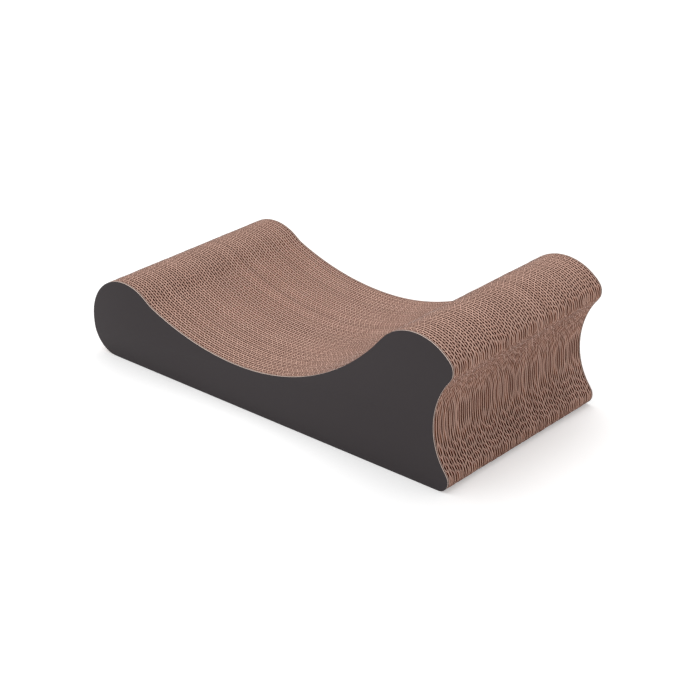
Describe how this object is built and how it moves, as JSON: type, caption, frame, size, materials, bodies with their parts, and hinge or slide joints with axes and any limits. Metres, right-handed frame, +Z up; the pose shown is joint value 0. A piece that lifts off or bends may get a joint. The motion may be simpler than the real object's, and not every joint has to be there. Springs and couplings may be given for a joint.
{
  "type": "cat scratcher",
  "caption": "Low cat scratching lounge of glued upright corrugated board sheets between dark side panels, with a rolled nose, a hollow seat and a raised headrest.",
  "frame": {"origin": "on the floor, under the middle of the block", "axes": "+X from the nose to the headrest, +Y across the sheets from the front panel to the back panel, +Z up"},
  "size_m": [0.4799, 0.2162, 0.1464],
  "materials": {
    "charcoal_print": "matte",
    "kraft_board": "matte"
  },
  "bodies": {
    "root": {"side_panel_front": "charcoal_print", "side_panel_back": "charcoal_print", "core_sheet_01": "kraft_board", "core_sheet_02": "kraft_board", "core_sheet_03": "kraft_board", "core_sheet_04": "kraft_board", "core_sheet_05": "kraft_board", "core_sheet_06": "kraft_board", "core_sheet_07": "kraft_board", "core_sheet_08": "kraft_board", "core_sheet_09": "kraft_board", "core_sheet_10": "kraft_board", "core_sheet_11": "kraft_board", "core_sheet_12": "kraft_board", "core_sheet_13": "kraft_board", "core_sheet_14": "kraft_board", "core_sheet_15": "kraft_board", "core_sheet_16": "kraft_board", "core_sheet_17": "kraft_board", "core_sheet_18": "kraft_board", "core_sheet_19": "kraft_board", "core_sheet_20": "kraft_board", "core_sheet_21": "kraft_board", "core_sheet_22": "kraft_board", "core_sheet_23": "kraft_board", "core_sheet_24": "kraft_board", "core_sheet_25": "kraft_board", "core_sheet_26": "kraft_board", "core_sheet_27": "kraft_board", "core_sheet_28": "kraft_board", "core_sheet_29": "kraft_board", "core_sheet_30": "kraft_board", "core_sheet_31": "kraft_board", "core_sheet_32": "kraft_board", "core_sheet_33": "kraft_board", "core_sheet_34": "kraft_board", "core_sheet_35": "kraft_board", "core_sheet_36": "kraft_board"}
  },
  "joints": []
}
